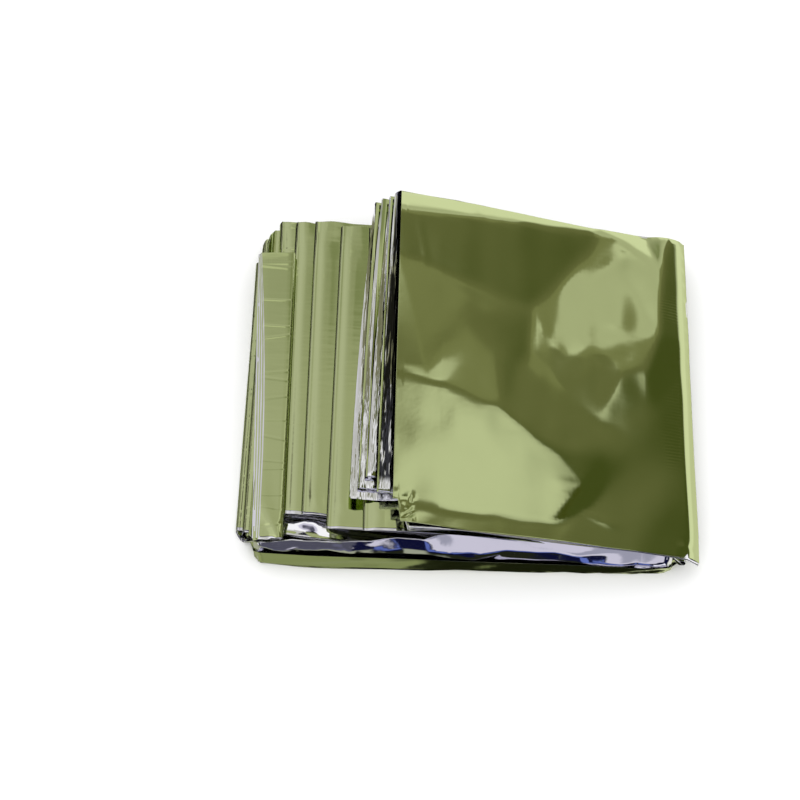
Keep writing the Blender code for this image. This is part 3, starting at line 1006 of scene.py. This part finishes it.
def noise_at(tree, place, scale, detail):
    """Noise over a place. The scale is one number, or one for each axis."""
    if isinstance(scale, tuple):
        mapping = node(tree, "ShaderNodeMapping", Scale=scale)
        tree.links.new(place, mapping.inputs["Vector"])
        place, scale = mapping.outputs["Vector"], 1.0
    made = node(tree, "ShaderNodeTexNoise", Scale=scale, Detail=detail, Roughness=0.5)
    tree.links.new(place, made.inputs["Vector"])
    return made.outputs["Fac"]


def axes(tree, place):
    parts = tree.nodes.new("ShaderNodeSeparateXYZ")
    tree.links.new(place, parts.inputs["Vector"])
    return [parts.outputs[axis] for axis in "XYZ"]


def all_of(tree, marks):
    """The product of several eased values, each given with its two limits."""
    (value, limits), *others = marks
    total = ease(tree, value, *limits)
    for value, limits in others:
        total = calculate(tree, "MULTIPLY", total, ease(tree, value, *limits))
    return total


def silver_marks(tree, place, noise, height, shader):
    """Streaks along the plies, and the painted shade on the silver deep in the fan."""
    streaks = noise_at(tree, place, STREAKS, 2.0)
    x, y, z = axes(tree, place)
    strength = calculate(tree, "MULTIPLY", ease(tree, y, *STREAKS_FROM), STREAK_HEIGHT)
    slanted = calculate(tree, "MULTIPLY_ADD", y, DEEP_SLANT, x)
    marks = (slanted, DEEP_FROM), (x, DEEP_TO), (z, DEEP_ABOVE), (y, DEEP_BEHIND), (streaks, DEEP_STREAKS)
    # Painted shade: inside this mask the silver's colour is mixed towards a dark one.
    colour = mix(tree, all_of(tree, marks), SILVER.colour, SILVER_PAINTED_SHADE)
    tree.links.new(colour, shader.inputs["Base Color"])
    return calculate(tree, "MULTIPLY_ADD", streaks, strength, height)


def olive_marks(tree, place, noise, height, shader):
    """The wrinkles and fine lines of the steps and the flap, and the ribs beside the panel's right edge."""
    x, y, z = axes(tree, place)
    wrinkles = noise_at(tree, place, STEP_WRINKLES, 2.0)
    mapping = node(tree, "ShaderNodeMapping", Scale=STEP_LINES)
    tree.links.new(place, mapping.inputs["Vector"])
    lines = node(tree, "ShaderNodeTexVoronoi", Scale=1.0)
    lines.feature = "DISTANCE_TO_EDGE"
    tree.links.new(mapping.outputs["Vector"], lines.inputs["Vector"])
    on_steps, on_flap = ease(tree, x, *ON_STEPS), ease(tree, x, *ON_FLAP)
    depth = calculate(tree, "MULTIPLY", on_steps, STEP_WRINKLE_HEIGHT)
    height = calculate(tree, "MULTIPLY_ADD", wrinkles, depth, height)
    line = ease(tree, lines.outputs["Distance"], 0.0, LINE_WIDTH)
    depth = calculate(tree, "MULTIPLY", on_steps, LINE_HEIGHT)
    depth = calculate(tree, "MULTIPLY_ADD", on_flap, FLAP_LINE_HEIGHT, depth)
    height = calculate(tree, "MULTIPLY_ADD", line, depth, height)
    turns = calculate(tree, "MULTIPLY", y, RIB_TURNS)
    ribs = calculate(tree, "SINE", calculate(tree, "MULTIPLY_ADD", noise, RIB_WANDER, turns))
    uneven = noise_at(tree, place, RIB_BREAKS, 1.0)
    middle = calculate(tree, "ABSOLUTE", y)
    marks = (x, RIBS_X), (z, RIBS_Z), (uneven, RIBS_LEFT), (middle, RIBS_Y), (x, RIBS_END)
    strength = calculate(tree, "MULTIPLY", all_of(tree, marks), RIB_HEIGHT)
    return calculate(tree, "MULTIPLY_ADD", ribs, strength, height)


def foil_material(foil, add_marks):
    """Metallised film: slightly uneven, and with the marks of its own side."""
    material = bpy.data.materials.new(foil.name)
    material.use_nodes = True
    tree = material.node_tree
    shader = tree.nodes["Principled BSDF"]
    shader.inputs["Metallic"].default_value = 1.0
    shader.inputs["Base Color"].default_value = foil.colour
    place = tree.nodes.new("ShaderNodeTexCoord").outputs["Object"]
    noise, fine = noise_at(tree, place, *BROAD_NOISE), noise_at(tree, place, *FINE_NOISE)
    height = calculate(tree, "MULTIPLY", noise, foil.wrinkle)
    height = calculate(tree, "MULTIPLY_ADD", fine, FINE_SHARE * foil.wrinkle, height)
    height = add_marks(tree, place, noise, height, shader)
    bump = node(tree, "ShaderNodeBump", Strength=1.0, Distance=1.0)
    tree.links.new(height, bump.inputs["Height"])
    tree.links.new(bump.outputs["Normal"], shader.inputs["Normal"])
    least, most = (foil.roughness * share for share in ROUGHNESS_SHARES)
    rough = node(tree, "ShaderNodeMapRange", To_Min=least, To_Max=most)
    tree.links.new(noise, rough.inputs["Value"])
    tree.links.new(rough.outputs["Result"], shader.inputs["Roughness"])
    return material


def make_sheet():
    blanket = bpy.data.objects.new("foil_blanket_sheet", sheet_mesh())
    bpy.context.scene.collection.objects.link(blanket)
    blanket.data.materials.append(foil_material(OLIVE, olive_marks))
    blanket.data.materials.append(foil_material(SILVER, silver_marks))
    shell = blanket.modifiers.new("foil", "SOLIDIFY")
    shell.thickness = FOIL * MM
    shell.offset = 0.0
    shell.material_offset = 1
    normals = blanket.modifiers.new("normals", "WEIGHTED_NORMAL")
    normals.mode = "FACE_AREA"
    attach(blanket, "root")
    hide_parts("foil_blanket")
    return blanket


# ---------------------------------------------------------------- the studio

CAMERA_ELEVATION = math.radians(58.5)
CAMERA_TURN = math.radians(1.7)
CAMERA_DISTANCE = 0.848
LENS, SENSOR = 83.25, 36.0


# What the foil reflects: a dome that only reflections see, white but for the zones below. A zone lies
# round one direction: azimuth from +Y towards +X, and elevation. It reaches "wide" and "high" to each
# side, all in degrees, and "soft" is the share of that over which it fades.
Zone = namedtuple("Zone", "name azimuth elevation wide high soft colour")
ZONES = (
    Zone("below", 0.0, -60.0, 200.0, 52.0, 0.05, (0.014, 0.016, 0.008)),
    Zone("beside_left", -85.0, -45.0, 52.0, 37.0, 0.12, (0.38, 0.40, 0.27)),
    Zone("beside_right", 88.0, -40.0, 52.0, 40.0, 0.12, (0.80, 0.80, 0.74)),
    Zone("beside_panel", 16.0, 66.0, 26.0, 24.0, 0.30, (0.86, 0.86, 0.84)),
    Zone("over_front", 46.0, 74.0, 24.0, 14.0, 0.40, (0.80, 0.80, 0.78)),
    Zone("beside_low", 10.0, 44.0, 22.0, 10.0, 0.40, (0.60, 0.60, 0.55)),
    Zone("over_steps", -12.0, 60.0, 24.0, 24.0, 0.30, (0.52, 0.52, 0.47)),
    Zone("steps_back", -4.0, 49.0, 18.0, 7.0, 0.60, (0.38, 0.39, 0.32)),
    Zone("steps_light", -13.0, 46.0, 6.0, 5.0, 0.30, (0.74, 0.75, 0.66)),
    Zone("steps_dark", 5.0, 51.0, 5.0, 5.0, 0.30, (0.30, 0.32, 0.22)),
    Zone("over_panel", 64.0, 43.5, 33.0, 15.5, 0.07, (0.19, 0.19, 0.105)),
    Zone("over_left", 33.0, 51.0, 3.5, 8.0, 0.25, (0.27, 0.27, 0.165)),
    Zone("over_foot", 35.5, 60.0, 5.5, 3.2, 0.20, (0.19, 0.19, 0.105)),
    Zone("over_crest", 28.0, 66.0, 10.0, 9.0, 0.12, (0.19, 0.19, 0.105)),
    Zone("over_right", 85.0, 43.0, 38.0, 17.0, 0.30, (0.085, 0.10, 0.03)),
    Zone("over_corner", 98.0, 72.0, 40.0, 15.0, 0.08, (0.08, 0.09, 0.02)),
    Zone("left_high", -62.0, 46.0, 42.0, 20.0, 0.45, (0.66, 0.65, 0.68)),
    Zone("left_low", -62.0, 5.0, 34.0, 17.0, 0.12, (0.030, 0.026, 0.040)),
    Zone("left_bar", -50.0, 33.0, 28.0, 5.5, 0.20, (0.050, 0.040, 0.055)),
    Zone("left_upper_bar", -64.0, 50.0, 22.0, 3.5, 0.20, (0.14, 0.13, 0.12)),
    Zone("before_high", 180.0, 42.0, 60.0, 28.0, 0.12, (0.62, 0.60, 0.70)),
    Zone("before", 180.0, 0.0, 50.0, 15.0, 0.10, (0.004, 0.005, 0.030)),
    Zone("below_left", 202.0, -38.0, 20.0, 40.0, 0.12, (0.34, 0.36, 0.26)),
    Zone("window_1", 171.0, 7.0, 9.0, 6.0, 0.15, (0.10, 0.14, 0.42)),
    Zone("window_2", 196.0, 2.0, 8.0, 9.0, 0.15, (0.12, 0.12, 0.18)),
    Zone("window_3", 150.0, -4.0, 7.0, 9.0, 0.15, (0.9, 0.9, 1.0)),
    Zone("before_left", 206.0, 34.0, 17.0, 26.0, 0.15, (0.08, 0.08, 0.11)),
    Zone("before_grey", 157.0, 34.0, 9.0, 8.0, 0.20, (0.34, 0.34, 0.42)),
    Zone("window_4", 212.0, 20.0, 7.0, 9.0, 0.15, (0.50, 0.50, 0.56)),
    Zone("window_5", 160.0, -8.0, 7.0, 5.0, 0.15, (0.12, 0.17, 0.50)),
)
DOME_RADIUS, DOME_DIVISIONS = 2.0, 4
DOME_WHITE = (1.0, 1.0, 1.0, 1.0)
HALF_TURN = 180.0


def zone_share(tree, azimuth, elevation, zone):
    """How much of a zone shows in a direction."""
    turn = calculate(tree, "SUBTRACT", azimuth, zone.azimuth)
    turn = calculate(tree, "WRAP", turn, HALF_TURN, -HALF_TURN)
    across = calculate(tree, "DIVIDE", calculate(tree, "ABSOLUTE", turn), zone.wide)
    lift = calculate(tree, "SUBTRACT", elevation, zone.elevation)
    up = calculate(tree, "DIVIDE", calculate(tree, "ABSOLUTE", lift), zone.high)
    outward = calculate(tree, "MAXIMUM", across, up)
    return ease(tree, outward, 1.0 - zone.soft, 1.0 + zone.soft, first=1.0, last=0.0)


def add_to_scene(name, mesh, material):
    made = bpy.data.objects.new(name, mesh)
    bpy.context.scene.collection.objects.link(made)
    mesh.materials.append(material)
    return made


def make_dome():
    mesh = bpy.data.meshes.new("reflection_dome")
    shape = bmesh.new()
    bmesh.ops.create_icosphere(shape, subdivisions=DOME_DIVISIONS, radius=DOME_RADIUS)
    shape.to_mesh(mesh)
    shape.free()
    material = bpy.data.materials.new("reflection_dome")
    material.use_nodes = True
    tree = material.node_tree
    tree.nodes.clear()
    unit = tree.nodes.new("ShaderNodeVectorMath")
    unit.operation = "NORMALIZE"
    tree.links.new(tree.nodes.new("ShaderNodeTexCoord").outputs["Object"], unit.inputs[0])
    x, y, z = axes(tree, unit.outputs["Vector"])
    azimuth = calculate(tree, "DEGREES", calculate(tree, "ARCTAN2", x, y))
    elevation = calculate(tree, "DEGREES", calculate(tree, "ARCSINE", z))
    shown = DOME_WHITE
    for zone in ZONES:
        share = zone_share(tree, azimuth, elevation, zone)
        shown = mix(tree, share, shown, (*zone.colour, 1.0))
    shine = tree.nodes.new("ShaderNodeEmission")
    tree.links.new(shown, shine.inputs["Color"])
    out = tree.nodes.new("ShaderNodeOutputMaterial")
    tree.links.new(shine.outputs["Emission"], out.inputs["Surface"])
    material.cycles.emission_sampling = "NONE"
    dome = add_to_scene("reflection_dome", mesh, material)
    dome.visible_camera = False
    dome.visible_diffuse = False
    dome.visible_shadow = False
    dome.visible_transmission = False
    return dome


FLOOR_RADIUS, FLOOR_CORNERS, FLOOR_COLOUR, FLOOR_ROUGHNESS = 6.0, 96, (0.94, 0.94, 0.94, 1.0), 0.9
WORLD_STRENGTH = 1.3
CAMERA_REACH = (0.01, 50.0)


def make_floor():
    mesh = bpy.data.meshes.new("floor")
    shape = bmesh.new()
    bmesh.ops.create_circle(shape, cap_ends=True, segments=FLOOR_CORNERS, radius=FLOOR_RADIUS)
    shape.to_mesh(mesh)
    shape.free()
    material = bpy.data.materials.new("pale_floor")
    material.use_nodes = True
    shader = material.node_tree.nodes["Principled BSDF"]
    shader.inputs["Base Color"].default_value = FLOOR_COLOUR
    shader.inputs["Roughness"].default_value = FLOOR_ROUGHNESS
    shader.inputs["Specular IOR Level"].default_value = 0.0
    floor = add_to_scene("floor", mesh, material)
    floor.visible_glossy = False
    return floor


def make_world():
    world = bpy.data.worlds.new("studio")
    bpy.context.scene.world = world
    world.use_nodes = True
    background = world.node_tree.nodes["Background"]
    background.inputs["Color"].default_value = DOME_WHITE
    background.inputs["Strength"].default_value = WORLD_STRENGTH
    world.cycles.sampling_method = "NONE"


def make_camera():
    data = bpy.data.cameras.new("camera")
    data.lens, data.sensor_width = LENS, SENSOR
    data.clip_start, data.clip_end = CAMERA_REACH
    camera = bpy.data.objects.new("camera", data)
    bpy.context.scene.collection.objects.link(camera)
    level, up = math.cos(CAMERA_ELEVATION), math.sin(CAMERA_ELEVATION)
    away = Vector((math.sin(CAMERA_TURN) * level, -math.cos(CAMERA_TURN) * level, up))
    target = Vector((-CENTRE[0] * MM, -CENTRE[1] * MM, 0.0))
    camera.location = target + away * CAMERA_DISTANCE
    camera.rotation_mode = "QUATERNION"
    camera.rotation_quaternion = (-away).to_track_quat("-Z", "Y")
    bpy.context.scene.camera = camera


make_sheet()
make_floor()
make_dome()
make_world()
make_camera()
bpy.context.scene.view_settings.view_transform = "Standard"
